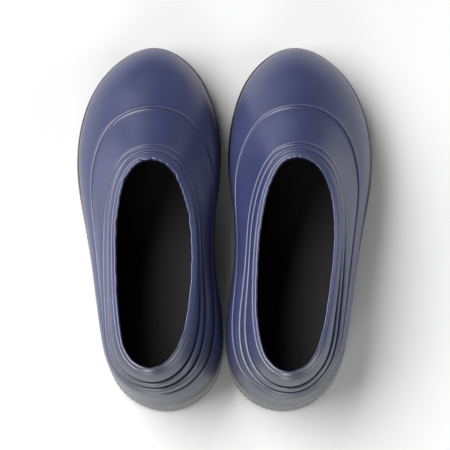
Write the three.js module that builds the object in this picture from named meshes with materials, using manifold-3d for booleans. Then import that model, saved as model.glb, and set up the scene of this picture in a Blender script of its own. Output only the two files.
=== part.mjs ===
// A pair of low slip-on rubber deck boots, as the separate pieces that each boot is lasted from.
// Millimetres. The pair stands on z = 0 with its toes towards +Y; +X is the wearer's right.
// Each boot is drawn once in its own frame: x towards the inner ankle, y towards the toe.
import * as THREE from 'three';
import { mergeVertices } from 'three/addons/utils/BufferGeometryUtils.js';
import Module from 'manifold-3d';

// ---- overall sizes -------------------------------------------------------------------------
const SOLE_LENGTH = 284; // toe to heel over the foxing
const BALL_WIDTH = 113; // widest place of the sole
const THROAT_HEIGHT = 88; // top line at the instep
const SIDE_HEIGHT = 71; // top line at its lowest, beside the ankle
const BACK_HEIGHT = 81; // top line at the heel
const TOE_OUT = 2; // degrees that each boot is turned outwards
const PAIR_GAP = 2.4; // between the two soles where they come closest

// ---- walls and layers ----------------------------------------------------------------------
const GAP = 0.3; // running gap between two pieces that lie against each other
const OUTSOLE_THICK = 9;
const FOXING_THICK = 3.2;
const FOXING_LOW = 1.5; // lower edge above the ground
const FOXING_HIGH = 20; // upper edge above the ground
const UPPER_THICK = 2.6;
const MARGIN_WIDTH = 12; // lasting margin turned in under the foot
const MARGIN_THICK = 2;
const BOARD_THICK = 2;
const LINING_THICK = 1.2;
const STIFFENER_THICK = 1.1; // toe puff and heel counter
const FOOTBED_THICK = 5;
const COVER_THICK = 1.2;
const FOOTBED_CLEAR = 2; // footbed to lining, all round
const BINDING_HEIGHT = 3.2;
const BINDING_OVERHANG = 0.5; // binding proud of the wall that it caps

// ---- shank ---------------------------------------------------------------------------------
const SHANK_LENGTH = 96;
const SHANK_WIDTH = 14;
const SHANK_THICK = 1.4;
const SHANK_Y = -26; // middle of the arch

// ---- tread ---------------------------------------------------------------------------------
const TREAD_DEPTH = 2;
const TREAD_WIDTH = 2.4;
const TREAD_PITCH = 13;
const ARCH_RELIEF = 2.5; // the waist stands clear of the ground by this much
const ARCH_FRONT = 8; // y where the forepart's tread ends
const HEEL_BREAST = -56; // y where the heel begins

// ---- moulded lines round the upper ---------------------------------------------------------
const LINE_WIDTH = 2.2;
const LINE_DEPTH = 0.9;

// ---- pattern -------------------------------------------------------------------------------
// Both patterns are closed cubic B-splines of 16 points, drawn on a 284 x 113 sole: point 0 is
// at the toe, points 1 to 7 go down the inner side, 8 is at the heel and 9 to 15 come back.
const PATTERN_LENGTH = 284;
const PATTERN_WIDTH = 113;
const SOLE_PATTERN = [
  [3, 150.5], [39, 123.5], [51.5, 83], [52, 41], [42.5, 0], [41.5, -42], [49.5, -83], [45.5, -128.5],
  [4, -151], [-38, -127], [-44.5, -82], [-49.5, -39], [-55, 4], [-62.5, 46], [-57, 89], [-37.5, 126.5],
];
const TOP_PATTERN = [
  [-1.5, 36], [15, 30], [24, 9], [28, -16], [28.5, -39], [28, -67], [25.5, -96], [17.5, -121.5],
  [-2.5, -134.5], [-25, -120], [-31, -89], [-34, -58], [-35, -29], [-34, -8], [-28, 18], [-16, 31.5],
];
const TOP_FRONT_Y = 34; // where the top line is highest
const TOP_LOW_Y = -60; // where it is lowest
const TOP_BACK_Y = -130;

// How a wall rises from the foxing to the top line, at the toe, the inner side, the heel and the
// outer side.
const BELLY = { toe: -3, inner: 15, heel: 5, outer: 6 }; // how far the lower handle leans outwards
const RISE = { toe: 28, inner: 24, heel: 26, outer: 24 }; // height of that handle
const TOP_SLOPE = { toe: 28, inner: 58, heel: 64, outer: 76 }; // degrees from level at the top line
const TOP_REACH = { toe: 56, inner: 24, heel: 24, outer: 20 }; // length of the upper handle

// Height of each moulded line up the wall: 0 at the foxing, 1 at the top line.
const LINES = [
  { toe: 0.705, inner: 0.42, heel: 0.5, outer: 0.48, power: 5 },
  { toe: 0.94, inner: 0.64, heel: 0.67, outer: 0.65, power: 1.5 },
  { toe: 0.975, inner: 0.8, heel: 0.8, outer: 0.86, power: 1.5 },
];

// Each boot's collar has relaxed its own way: at the heel it leans sideways or back, beside the
// ankle it sways sideways, and the throat sits lower or higher.
const BOOTS = [
  { side: 'left', mirror: 1, lean: [-4, 0], sway: 2.5, throat: -4 },
  { side: 'right', mirror: -1, lean: [3.5, -3], sway: 0, throat: 2 },
];

const STATIONS = 40; // sections round each boot
const INNER_STEPS = [0, 0.15, 0.3, 0.45, 0.6, 0.8, 1];
const PUFF = { half: 6, steps: 5 }; // toe puff: stations each side of the toe, steps up the wall
const COUNTER = { half: 7, steps: 6 };
const SHELL_CLEAR = GAP + STIFFENER_THICK + GAP; // room that the stiffeners take inside the upper

const wasm = await Module();
wasm.setup();

// ---- curves --------------------------------------------------------------------------------
function splinePoint(pattern, u) {
  const n = pattern.length;
  const s = (u - Math.floor(u)) * n;
  const i = Math.floor(s) % n;
  const t = s - Math.floor(s);
  const weights = [
    (1 - t) ** 3,
    3 * t ** 3 - 6 * t ** 2 + 4,
    -3 * t ** 3 + 3 * t ** 2 + 3 * t + 1,
    t ** 3,
  ];
  const p = new THREE.Vector2();
  weights.forEach((w, k) => {
    const q = pattern[(i + k - 1 + n) % n];
    p.x += (w * q[0]) / 6;
    p.y += (w * q[1]) / 6;
  });
  p.x *= BALL_WIDTH / PATTERN_WIDTH;
  p.y *= SOLE_LENGTH / PATTERN_LENGTH;
  return p;
}

// Outward direction of the sole's edge.
function edgeNormal(u) {
  const e = 1e-3;
  const t = splinePoint(SOLE_PATTERN, u + e).sub(splinePoint(SOLE_PATTERN, u - e)).normalize();
  return new THREE.Vector2(-t.y, t.x);
}

function soleEdge(u, inset) {
  return splinePoint(SOLE_PATTERN, u).addScaledVector(edgeNormal(u), -inset);
}

// 1 at the toe or at the heel, falling to 0 at the sides.
const toeShare = (u, power = 3) => (0.5 + 0.5 * Math.cos(2 * Math.PI * u)) ** power;
const heelShare = (u, power = 3) => (0.5 - 0.5 * Math.cos(2 * Math.PI * u)) ** power;
const sideShare = (u) => Math.sin(2 * Math.PI * u) ** 2;

function blend(values, u, power) {
  const { toe, inner, heel, outer } = values;
  const side = outer + (inner - outer) * (0.5 + 0.5 * Math.sin(2 * Math.PI * u));
  return side + (toe - side) * toeShare(u, power) + (heel - side) * heelShare(u, power);
}

function topHeight(y) {
  const grade = SOLE_LENGTH / PATTERN_LENGTH;
  const end = (y > TOP_LOW_Y * grade ? TOP_FRONT_Y : TOP_BACK_Y) * grade;
  const peak = y > TOP_LOW_Y * grade ? THROAT_HEIGHT : BACK_HEIGHT;
  return SIDE_HEIGHT + (peak - SIDE_HEIGHT) * ((y - TOP_LOW_Y * grade) / (end - TOP_LOW_Y * grade)) ** 2;
}

// A point of the upper's outer face. t runs from 0 at the foxing's top to 1 at the top line.
function wallPoint(boot, u, t) {
  const foot = soleEdge(u, FOXING_THICK + GAP);
  const out = edgeNormal(u);
  const top = splinePoint(TOP_PATTERN, u);
  const height = topHeight(top.y) + boot.throat * toeShare(u);
  top.x += boot.lean[0] * heelShare(u, 2) + boot.sway * sideShare(u);
  top.y += boot.lean[1] * heelShare(u, 2);
  const away = foot.clone().sub(top).normalize();
  const slope = THREE.MathUtils.degToRad(blend(TOP_SLOPE, u));
  const reach = blend(TOP_REACH, u);
  const start = new THREE.Vector3(foot.x, foot.y, FOXING_HIGH + GAP);
  const end = new THREE.Vector3(top.x, top.y, height);
  const lower = start.clone().add(
    new THREE.Vector3(out.x, out.y, 0).multiplyScalar(blend(BELLY, u)).setZ(blend(RISE, u)));
  const upper = end.clone().add(
    new THREE.Vector3(away.x * Math.cos(slope), away.y * Math.cos(slope), -Math.sin(slope))
      .multiplyScalar(reach));
  return new THREE.CubicBezierCurve3(start, lower, upper, end).getPoint(t);
}

// The same point moved into the wall by a depth, square to the outer face.
function insidePoint(boot, u, t, depth) {
  const e = 2e-3;
  const t0 = Math.max(0, t - e);
  const t1 = Math.min(1, t + e);
  const round = wallPoint(boot, u + e, t).sub(wallPoint(boot, u - e, t));
  const up = wallPoint(boot, u, t1).sub(wallPoint(boot, u, t0));
  const normal = round.cross(up).normalize();
  const level = new THREE.Vector3(normal.x, normal.y, 0).normalize();
  const square = t === 0 || t === 1 ? level : normal; // level at the two ends, so that layers end flush
  return wallPoint(boot, u, t).addScaledVector(square, depth);
}

// Depth of the lining's outer face: clear of the stiffeners low down, close to the upper at the top.
function liningDepth(t) {
  const close = THREE.MathUtils.smoothstep(t, INNER_STEPS[COUNTER.steps - 1], 1);
  return UPPER_THICK + SHELL_CLEAR + (GAP - SHELL_CLEAR) * close;
}

const lineHeight = (line, u) => blend(line, u, line.power);

// ---- solids --------------------------------------------------------------------------------
const stationList = Array.from({ length: STATIONS }, (_, i) => i / STATIONS);

function fromFaces(points, faces) {
  const geometry = new THREE.BufferGeometry();
  geometry.setAttribute('position', new THREE.Float32BufferAttribute(points.flatMap((p) => p.toArray()), 3));
  geometry.setIndex(faces.flat());
  return geometry;
}

// Turns a closed geometry the right way out: its volume comes out positive.
function facingOut(geometry) {
  const position = geometry.getAttribute('position');
  const index = geometry.getIndex();
  const corner = [0, 1, 2].map(() => new THREE.Vector3());
  let volume = 0;
  for (let i = 0; i < index.count; i += 3) {
    corner.forEach((c, k) => c.fromBufferAttribute(position, index.getX(i + k)));
    volume += corner[0].dot(corner[1].clone().cross(corner[2]));
  }
  if (volume < 0) {
    for (let i = 0; i < index.count; i += 3) {
      const swap = index.getX(i + 1);
      index.setX(i + 1, index.getX(i + 2));
      index.setX(i + 2, swap);
    }
  }
  geometry.computeVertexNormals();
  return geometry;
}

// A closed section carried all the way round the boot.
function ringSolid(section) {
  const loops = stationList.map(section);
  const count = loops[0].length;
  const faces = [];
  loops.forEach((_, i) => {
    const next = (i + 1) % loops.length;
    for (let k = 0; k < count; k += 1) {
      const k1 = (k + 1) % count;
      faces.push([i * count + k, next * count + k, next * count + k1]);
      faces.push([i * count + k, next * count + k1, i * count + k1]);
    }
  });
  return facingOut(fromFaces(loops.flat(), faces));
}

// A sheet of even thickness over part of the wall: its outer and inner grids joined at the edges.
// Each face is split along the same diagonals as the shell that it lies against.
function patchSolid(outer, inner) {
  const rows = outer.length;
  const columns = outer[0].length;
  const points = [...outer.flat(), ...inner.flat()];
  const at = (layer, i, j) => layer * rows * columns + i * columns + j;
  const faces = [];
  const quad = (a, b, c, d) => faces.push([a, b, c], [a, c, d]);
  for (let i = 0; i + 1 < rows; i += 1) {
    for (let j = 0; j + 1 < columns; j += 1) {
      quad(at(0, i, j + 1), at(0, i, j), at(0, i + 1, j), at(0, i + 1, j + 1));
      quad(at(1, i, j), at(1, i, j + 1), at(1, i + 1, j + 1), at(1, i + 1, j));
    }
  }
  const rim = [];
  for (let i = 0; i + 1 < rows; i += 1) rim.push([i, 0]);
  for (let j = 0; j + 1 < columns; j += 1) rim.push([rows - 1, j]);
  for (let i = rows - 1; i > 0; i -= 1) rim.push([i, columns - 1]);
  for (let j = columns - 1; j > 0; j -= 1) rim.push([0, j]);
  rim.forEach(([i, j], k) => {
    const [i1, j1] = rim[(k + 1) % rim.length];
    quad(at(0, i, j), at(1, i, j), at(1, i1, j1), at(0, i1, j1));
  });
  return facingOut(fromFaces(points, faces));
}

// A flat layer with the sole's outline, inset, between two heights.
function layer(inset, low, high) {
  const shape = new THREE.Shape(stationList.map((u) => soleEdge(u, inset)));
  return new THREE.ExtrudeGeometry(shape, { depth: high - low, bevelEnabled: false }).translate(0, 0, low);
}

function toSolid(geometry) {
  const bare = new THREE.BufferGeometry();
  const source = geometry.index ? geometry.toNonIndexed() : geometry;
  bare.setAttribute('position', source.getAttribute('position'));
  const merged = mergeVertices(bare, 1e-4);
  return new wasm.Manifold(new wasm.Mesh({
    numProp: 3,
    vertProperties: new Float32Array(merged.getAttribute('position').array),
    triVerts: new Uint32Array(merged.getIndex().array),
  }));
}

function toGeometry(solid) {
  const { vertProperties, triVerts } = solid.getMesh();
  const geometry = new THREE.BufferGeometry();
  geometry.setAttribute('position', new THREE.BufferAttribute(vertProperties, 3));
  geometry.setIndex(new THREE.BufferAttribute(triVerts, 1));
  geometry.computeVertexNormals();
  return geometry;
}

const cut = (geometry, tools) => toGeometry(
  tools.reduce((solid, tool) => solid.subtract(toSolid(tool)), toSolid(geometry)));

function box(x0, x1, y0, y1, z0, z1) {
  return new THREE.BoxGeometry(x1 - x0, y1 - y0, z1 - z0)
    .translate((x0 + x1) / 2, (y0 + y1) / 2, (z0 + z1) / 2);
}

// ---- heights of the layers under the foot --------------------------------------------------
const marginLow = OUTSOLE_THICK + GAP;
const marginHigh = marginLow + MARGIN_THICK;
const boardLow = marginHigh + GAP;
const boardHigh = boardLow + BOARD_THICK;
const footbedLow = boardHigh + GAP;
const footbedHigh = footbedLow + FOOTBED_THICK;
const coverLow = footbedHigh + GAP;
const coverHigh = coverLow + COVER_THICK;

// ---- insets from the sole's edge -----------------------------------------------------------
const upperInset = FOXING_THICK + GAP;
const boardInset = upperInset + UPPER_THICK + GAP;
const fillerInset = upperInset + UPPER_THICK + MARGIN_WIDTH + GAP;
const footbedInset = upperInset + liningDepth(0) + LINING_THICK + FOOTBED_CLEAR;

// ---- pieces of one boot --------------------------------------------------------------------
function outsole() {
  const reach = BALL_WIDTH;
  const across = (y, width) => box(-reach, reach, y - width / 2, y + width / 2, -1, TREAD_DEPTH);
  const tools = [box(-reach, reach, HEEL_BREAST, ARCH_FRONT, -1, ARCH_RELIEF)];
  const toeEnd = SOLE_LENGTH / 2 - TREAD_PITCH;
  const heelEnd = -SOLE_LENGTH / 2 + TREAD_PITCH;
  for (let y = ARCH_FRONT + TREAD_PITCH; y < toeEnd; y += TREAD_PITCH) tools.push(across(y, TREAD_WIDTH));
  for (let y = HEEL_BREAST - TREAD_PITCH; y > heelEnd; y -= TREAD_PITCH) tools.push(across(y, TREAD_WIDTH));
  return cut(layer(upperInset, 0, OUTSOLE_THICK), tools);
}

function foxingStrip() {
  const bevel = FOXING_THICK / 4;
  const corners = [
    [FOXING_THICK, FOXING_LOW], [bevel, FOXING_LOW], [0, FOXING_LOW + bevel],
    [0, FOXING_HIGH - bevel], [bevel, FOXING_HIGH], [FOXING_THICK, FOXING_HIGH],
  ];
  return ringSolid((u) => corners.map(([inset, z]) => {
    const p = soleEdge(u, inset);
    return new THREE.Vector3(p.x, p.y, z);
  }));
}

const shankSeat = (clear, z0, z1) => box(
  -SHANK_WIDTH / 2 - clear, SHANK_WIDTH / 2 + clear,
  SHANK_Y - SHANK_LENGTH / 2 - clear, SHANK_Y + SHANK_LENGTH / 2 + clear, z0, z1);

const bottomFiller = () => cut(layer(fillerInset, marginLow, marginHigh),
  [shankSeat(GAP, marginHigh - SHANK_THICK - GAP, marginHigh + 1)]);
const shank = () => shankSeat(0, marginHigh - SHANK_THICK, marginHigh);
const insoleBoard = () => layer(boardInset, boardLow, boardHigh);
const footbed = () => layer(footbedInset, footbedLow, footbedHigh);
const footbedCover = () => layer(footbedInset, coverLow, coverHigh);

// The rubber shell: up the outside with its three moulded lines, down the inside, and the lasting
// margin turned in under the insole board.
function upper(boot) {
  return ringSolid((u) => {
    const flat = (inset, z) => {
      const p = soleEdge(u, inset);
      return new THREE.Vector3(p.x, p.y, z);
    };
    const climb = wallPoint(boot, u, 1).distanceTo(wallPoint(boot, u, 0));
    const half = LINE_WIDTH / 2 / climb;
    const heights = LINES.map((line) => lineHeight(line, u));
    const outside = [0, 0.25, 0.5, 0.75].map((share) => wallPoint(boot, u, share * heights[0]));
    heights.forEach((t, k) => {
      const next = heights[k + 1] ?? 1;
      outside.push(wallPoint(boot, u, t - half));
      outside.push(insidePoint(boot, u, t, LINE_DEPTH));
      outside.push(wallPoint(boot, u, t + half));
      if (next - t > 4 * half) outside.push(wallPoint(boot, u, (t + next) / 2));
      else outside.push(wallPoint(boot, u, (t + half + next - half) / 2));
    });
    outside.push(wallPoint(boot, u, 1));
    const inside = [...INNER_STEPS].reverse().map((t) => insidePoint(boot, u, t, UPPER_THICK));
    return [
      flat(upperInset, marginLow), ...outside, ...inside,
      flat(upperInset + UPPER_THICK, marginHigh),
      flat(upperInset + UPPER_THICK + MARGIN_WIDTH, marginHigh),
      flat(upperInset + UPPER_THICK + MARGIN_WIDTH, marginLow),
    ];
  });
}

function lining(boot) {
  return ringSolid((u) => {
    const flat = (depth) => {
      const p = soleEdge(u, upperInset + depth);
      return new THREE.Vector3(p.x, p.y, footbedLow);
    };
    const face = (extra) => INNER_STEPS.map((t) => insidePoint(boot, u, t, liningDepth(t) + extra));
    return [
      flat(liningDepth(0)), ...face(0),
      ...face(LINING_THICK).reverse(), flat(liningDepth(0) + LINING_THICK),
    ];
  });
}

// A moulded stiffener between the upper and the lining, centred on the toe or the heel.
function stiffener(boot, centre, { half, steps }) {
  const depths = [UPPER_THICK + GAP, UPPER_THICK + GAP + STIFFENER_THICK];
  const grid = (depth) => Array.from({ length: 2 * half + 1 }, (_, i) => {
    const u = centre + (i - half) / STATIONS;
    const base = soleEdge(u, upperInset + depth);
    const column = INNER_STEPS.slice(0, steps).map((t) => insidePoint(boot, u, t, depth));
    return [new THREE.Vector3(base.x, base.y, footbedLow), ...column];
  });
  return patchSolid(grid(depths[0]), grid(depths[1]));
}

// The rolled rim: a bead that caps the upper and the lining all round the top line.
function collarBinding(boot) {
  const wall = liningDepth(1) + LINING_THICK;
  const corners = [
    [-BINDING_OVERHANG, GAP], [-BINDING_OVERHANG, 0.6 * BINDING_HEIGHT], [0.25 * wall, BINDING_HEIGHT],
    [0.75 * wall, BINDING_HEIGHT], [wall + BINDING_OVERHANG, 0.6 * BINDING_HEIGHT], [wall + BINDING_OVERHANG, GAP],
  ];
  return ringSolid((u) => corners.map(([depth, rise]) => {
    const p = insidePoint(boot, u, 1, depth);
    return p.setZ(p.z + rise);
  }));
}

// ---- materials -----------------------------------------------------------------------------
const finish = (color, roughness, metalness = 0) => new THREE.MeshStandardMaterial({ color, roughness, metalness });
const NAVY_RUBBER = finish(0x3f4670, 0.45);
const BLACK_RUBBER = finish(0x17171a, 0.6);
const KNIT = finish(0x0f0f11, 0.95);
const FOAM = finish(0x2b2c30, 0.9);
const FIBREBOARD = finish(0x8a7355, 0.9);
const CORK = finish(0xa07a4f, 0.95);
const STIFFENER = finish(0xb9b3a4, 0.8);
const SPRING_STEEL = finish(0x8d9196, 0.35, 1);

// ---- assembly ------------------------------------------------------------------------------
function makeBoot(boot) {
  const group = new THREE.Group();
  const add = (name, geometry, material) => {
    const mesh = new THREE.Mesh(geometry, material);
    mesh.name = `${boot.side}_${name}`;
    group.add(mesh);
  };
  add('outsole', outsole(), BLACK_RUBBER);
  add('foxing_strip', foxingStrip(), BLACK_RUBBER);
  add('bottom_filler', bottomFiller(), CORK);
  add('shank', shank(), SPRING_STEEL);
  add('insole_board', insoleBoard(), FIBREBOARD);
  add('upper', upper(boot), NAVY_RUBBER);
  add('toe_puff', stiffener(boot, 0, PUFF), STIFFENER);
  add('heel_counter', stiffener(boot, 0.5, COUNTER), STIFFENER);
  add('lining', lining(boot), KNIT);
  add('collar_binding', collarBinding(boot), NAVY_RUBBER);
  add('footbed', footbed(), FOAM);
  add('footbed_cover', footbedCover(), KNIT);
  return group;
}

// Half the distance between the two boots' frames, so that their inner edges clear each other.
function innerReach() {
  const turn = THREE.MathUtils.degToRad(TOE_OUT);
  return Math.max(...stationList.map((u) => {
    const p = soleEdge(u, 0);
    return p.x * Math.cos(turn) - p.y * Math.sin(turn);
  }));
}

const pair = new THREE.Group();
const halfSpacing = innerReach() + PAIR_GAP / 2;
BOOTS.forEach((boot) => {
  const placed = new THREE.Group();
  const mirrored = new THREE.Group();
  placed.add(makeBoot(boot));
  placed.position.x = -halfSpacing;
  placed.rotation.z = THREE.MathUtils.degToRad(TOE_OUT);
  mirrored.scale.x = boot.mirror;
  mirrored.add(placed);
  pair.add(mirrored);
});

// The origin is on the ground, in the middle of the pair.
pair.updateMatrixWorld(true);
const middle = new THREE.Box3().setFromObject(pair, true).getCenter(new THREE.Vector3());
const part = new THREE.Group();
pair.position.set(-middle.x, -middle.y, 0);
part.add(pair);

export default part;
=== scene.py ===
"""A pair of low slip-on rubber deck boots, made piece by piece round a fixed frame of its parts.

Metres, +Z up, toes towards +Y. Every boot is drawn once in its own frame, with x towards the inner
ankle and y towards the toe, and is then moved to where the frame has the left or the right boot.
Round a boot, u runs from 0 at the toe over 0.25 at the inner side and 0.5 at the heel back to 1.
"""

import math
from collections import namedtuple

import bpy
import numpy as np
from bpy.props import FloatProperty, FloatVectorProperty, PointerProperty
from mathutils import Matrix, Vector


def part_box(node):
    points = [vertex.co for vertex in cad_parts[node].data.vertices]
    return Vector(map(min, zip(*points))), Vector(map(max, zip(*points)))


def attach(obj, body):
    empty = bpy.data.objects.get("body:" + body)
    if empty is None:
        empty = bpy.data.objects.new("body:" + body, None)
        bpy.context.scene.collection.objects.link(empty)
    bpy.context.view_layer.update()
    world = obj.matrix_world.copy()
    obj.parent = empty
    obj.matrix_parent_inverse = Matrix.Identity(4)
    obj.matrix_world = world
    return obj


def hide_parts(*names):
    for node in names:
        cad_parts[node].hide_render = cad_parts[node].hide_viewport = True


bl_info = {
    "name": "Deck boots",
    "version": (1, 0, 0),
    "blender": (4, 5, 0),
    "location": "View3D > Sidebar > Deck boots",
    "description": "A pair of low rubber deck boots with ribbed foxing and a knitted lining",
    "category": "Object",
}

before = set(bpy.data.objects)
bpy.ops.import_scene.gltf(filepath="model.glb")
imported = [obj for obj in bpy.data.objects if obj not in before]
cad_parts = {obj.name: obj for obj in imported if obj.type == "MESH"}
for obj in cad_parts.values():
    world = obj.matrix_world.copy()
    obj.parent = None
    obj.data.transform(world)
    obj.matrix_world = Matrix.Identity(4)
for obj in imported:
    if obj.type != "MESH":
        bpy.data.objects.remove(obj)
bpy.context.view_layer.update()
MM = 0.001


# ---- the frame's own sizes -------------------------------------------------------------------
def level(node):
    """Lowest and highest z of a node of the frame."""
    low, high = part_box(node)
    return low.z, high.z


FOXING_LOW, FOXING_HIGH = level("left_foxing_strip")
OUTSOLE_LOW, OUTSOLE_HIGH = level("left_outsole")
MARGIN_LOW, MARGIN_HIGH = level("left_bottom_filler")
FOOTBED_LOW, FOOTBED_HIGH = level("left_footbed")
COVER_LOW, COVER_HIGH = level("left_footbed_cover")

# ---- the last --------------------------------------------------------------------------------
# All in millimetres and degrees. The two patterns are closed cubic B-splines of 16 points: point 0
# is at the toe, 1 to 7 go down the inner side, 8 is at the heel and 9 to 15 come back.
SOLE_PATTERN = (
    (3, 150.5), (39, 123.5), (51.5, 83), (52, 41), (42.5, 0), (41.5, -42), (49.5, -83), (45.5, -128.5),
    (4, -151), (-38, -127), (-44.5, -82), (-49.5, -39), (-55, 4), (-62.5, 46), (-57, 89), (-37.5, 126.5),
)
TOP_PATTERN = (
    (-1.5, 36), (15, 30), (24, 9), (28, -16), (28.5, -39), (28, -67), (25.5, -96), (17.5, -121.5),
    (-2.5, -134.5), (-25, -120), (-31, -89), (-34, -58), (-35, -29), (-34, -8), (-28, 18), (-16, 31.5),
)
FRAME_STATIONS = 40  # the frame's foxing has this many flat sides
STATIONS_PER_RIB = 4  # of the fine ribs on the heel and on the foxing
TOE_OUT = 2  # turn of each boot
GAP = 0.3  # between neighbouring pieces
FOXING_THICK = 3.2
UPPER_THICK = 2.6
STIFFENER_THICK = 1.1
LINING_THICK = 1.2
MARGIN_WIDTH = 12  # of the upper's edge, turned in under the insole board
FOOTBED_CLEAR = 2  # between footbed and lining
WALL_INSET = FOXING_THICK + GAP
SHELL_CLEAR = GAP + STIFFENER_THICK + GAP

THROAT_HEIGHT, SIDE_HEIGHT, BACK_HEIGHT = 88, 71, 81
TOP_FRONT_Y, TOP_LOW_Y, TOP_BACK_Y = 34, -60, -130

# Values at the toe, the inner side, the heel and the outer side. The wall is a cubic curve at each
# place round the boot: its lower handle goes out by BELLY and up by RISE, and its upper handle
# leaves the top line at TOP_SLOPE below the level for TOP_REACH.
Quarters = namedtuple("Quarters", "toe inner heel outer")
BELLY = Quarters(-3, 15, 5, 6)
RISE = Quarters(28, 24, 26, 24)
TOP_SLOPE = Quarters(28, 58, 64, 76)
TOP_REACH = Quarters(56, 24, 24, 20)

# The three moulded lines, lowest first: share of the wall's height, and how fast the toe's and the
# heel's value give way to the sides'.
LINES = (
    (Quarters(0.705, 0.42, 0.5, 0.48), 5),
    (Quarters(0.94, 0.64, 0.67, 0.65), 1.5),
    (Quarters(0.975, 0.8, 0.8, 0.86), 1.5),
)

# How each boot differs from the pattern: lean moves the back of its top line, sway moves that line's
# sides towards the inner ankle, throat lifts its front, and ragged adds waves to the rim over the
# instep.
Boot = namedtuple("Boot", "side mirror lean sway throat ragged")
BOOTS = (Boot("left", 1, (-4, 0), 2.5, -4, 0.6), Boot("right", -1, (3.5, -3), 0, 2, 0.2))


def spline(pattern, u):
    """Points of a closed, even cubic B-spline at the shares u of the way round."""
    points = np.array(pattern, float)
    s = np.mod(u, 1.0) * len(points)
    i = np.floor(s).astype(int)
    t = (s - i)[..., None]
    weights = ((1 - t) ** 3, 3 * t ** 3 - 6 * t ** 2 + 4, -3 * t ** 3 + 3 * t ** 2 + 3 * t + 1, t ** 3)
    return sum(w * points[(i + k - 1) % len(points)] for k, w in enumerate(weights)) / 6


def unit(vectors):
    """The vectors cut or drawn out to a length of 1."""
    return vectors / np.linalg.norm(vectors, axis=-1, keepdims=True)


def edge_normal(u):
    """Outward direction of the sole's edge."""
    along = unit(spline(SOLE_PATTERN, u + 1e-3) - spline(SOLE_PATTERN, u - 1e-3))
    return np.stack([-along[..., 1], along[..., 0]], -1)


def sole_edge(u, inset):
    """Level points of the sole's outline, moved inwards by inset."""
    return spline(SOLE_PATTERN, u) - edge_normal(u) * np.asarray(inset, float)[..., None]


def toe_share(u, power=3.0):
    """1 at the toe and 0 at the heel; a higher power keeps it nearer the toe."""
    return (0.5 + 0.5 * np.cos(2 * np.pi * u)) ** power


def heel_share(u, power=3.0):
    """1 at the heel and 0 at the toe."""
    return (0.5 - 0.5 * np.cos(2 * np.pi * u)) ** power


def blend(values, u, power=3.0):
    """Four quarter values carried smoothly round the boot."""
    side = values.outer + (values.inner - values.outer) * (0.5 + 0.5 * np.sin(2 * np.pi * u))
    return side + (values.toe - side) * toe_share(u, power) + (values.heel - side) * heel_share(u, power)


def smooth(x):
    """A soft step from 0 to 1 as x goes from 0 to 1."""
    x = np.clip(x, 0, 1)
    return x * x * (3 - 2 * x)


def near_heel(u, reach, soft=0.03):
    """1 round the heel, falling to 0 at the given share of the way round from it."""
    return smooth((reach - np.abs(np.mod(u, 1) - 0.5)) / soft)


def top_height(y):
    """Height of the top line at each y: lowest at TOP_LOW_Y and rising to throat and back."""
    front = y > TOP_LOW_Y
    end = np.where(front, TOP_FRONT_Y, TOP_BACK_Y)
    peak = np.where(front, THROAT_HEIGHT, BACK_HEIGHT)
    return SIDE_HEIGHT + (peak - SIDE_HEIGHT) * ((y - TOP_LOW_Y) / (end - TOP_LOW_Y)) ** 2


def wall(boot, u, t):
    """Points of the upper's outer face, in millimetres: t is 0 at the foxing and 1 at the top line."""
    u, t = np.broadcast_arrays(u, t)
    foot = sole_edge(u, np.full(u.shape, WALL_INSET))
    out = edge_normal(u)
    top = spline(TOP_PATTERN, u)
    height = top_height(top[..., 1]) + boot.throat * toe_share(u)
    top[..., 0] += boot.lean[0] * heel_share(u, 2) + boot.sway * np.sin(2 * np.pi * u) ** 2
    top[..., 1] += boot.lean[1] * heel_share(u, 2)
    away = unit(foot - top)
    slope = np.radians(blend(TOP_SLOPE, u))
    reach = blend(TOP_REACH, u)
    z = np.full(u.shape, FOXING_HIGH / MM + GAP)
    p0 = np.stack([foot[..., 0], foot[..., 1], z], -1)
    belly = blend(BELLY, u)
    p1 = p0 + np.stack([out[..., 0] * belly, out[..., 1] * belly, blend(RISE, u)], -1)
    p3 = np.stack([top[..., 0], top[..., 1], height], -1)
    level_reach = np.cos(slope) * reach
    p2 = p3 + np.stack([away[..., 0] * level_reach, away[..., 1] * level_reach, -np.sin(slope) * reach], -1)
    t = t[..., None]
    return (1 - t) ** 3 * p0 + 3 * (1 - t) ** 2 * t * p1 + 3 * (1 - t) * t ** 2 * p2 + t ** 3 * p3


def wall_inward(boot, u, t, step=2e-3, level_share=0.03):
    """Directions square to the wall and into it, which turn level over its two ends' shares."""
    u, t = np.broadcast_arrays(u, t)
    round_boot = wall(boot, u + step, t) - wall(boot, u - step, t)
    up = wall(boot, u, np.minimum(1, t + step)) - wall(boot, u, np.maximum(0, t - step))
    inward = unit(np.cross(round_boot, up))
    flat = unit(inward * (1, 1, 0))
    end = np.clip(1 - (0.5 - np.abs(t - 0.5)) / level_share, 0, 1)[..., None]
    return unit(inward * (1 - end) + flat * end)


def inside(boot, u, t, depth):
    """Points at a depth behind the upper's outer face; a negative depth stands out from it."""
    u, t, depth = np.broadcast_arrays(u, t, depth)
    return wall(boot, u, t) + wall_inward(boot, u, t) * depth[..., None]


def lining_depth(t):
    """Depth of the lining's face: clear of the stiffeners, and close to the upper near its top."""
    return UPPER_THICK + SHELL_CLEAR + (GAP - SHELL_CLEAR) * smooth((t - 0.8) / 0.2)


def wall_arc(boot, u, samples=120):
    """Distance up the wall at even steps of t, one row for each station."""
    t = np.linspace(0, 1, samples)
    step = np.linalg.norm(np.diff(wall(boot, u[:, None], t[None, :]), axis=1), axis=-1)
    return t, np.concatenate([np.zeros((len(u), 1)), np.cumsum(step, axis=1)], axis=1)


def lookup(x, rows_x, rows_y):
    """Row by row, the values of rows_y at the places x along rows_x."""
    rows_x, rows_y = (np.broadcast_to(r, (len(x), r.shape[-1])) for r in (rows_x, rows_y))
    return np.stack([np.interp(a, b, c) for a, b, c in zip(x, rows_x, rows_y)])


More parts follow.
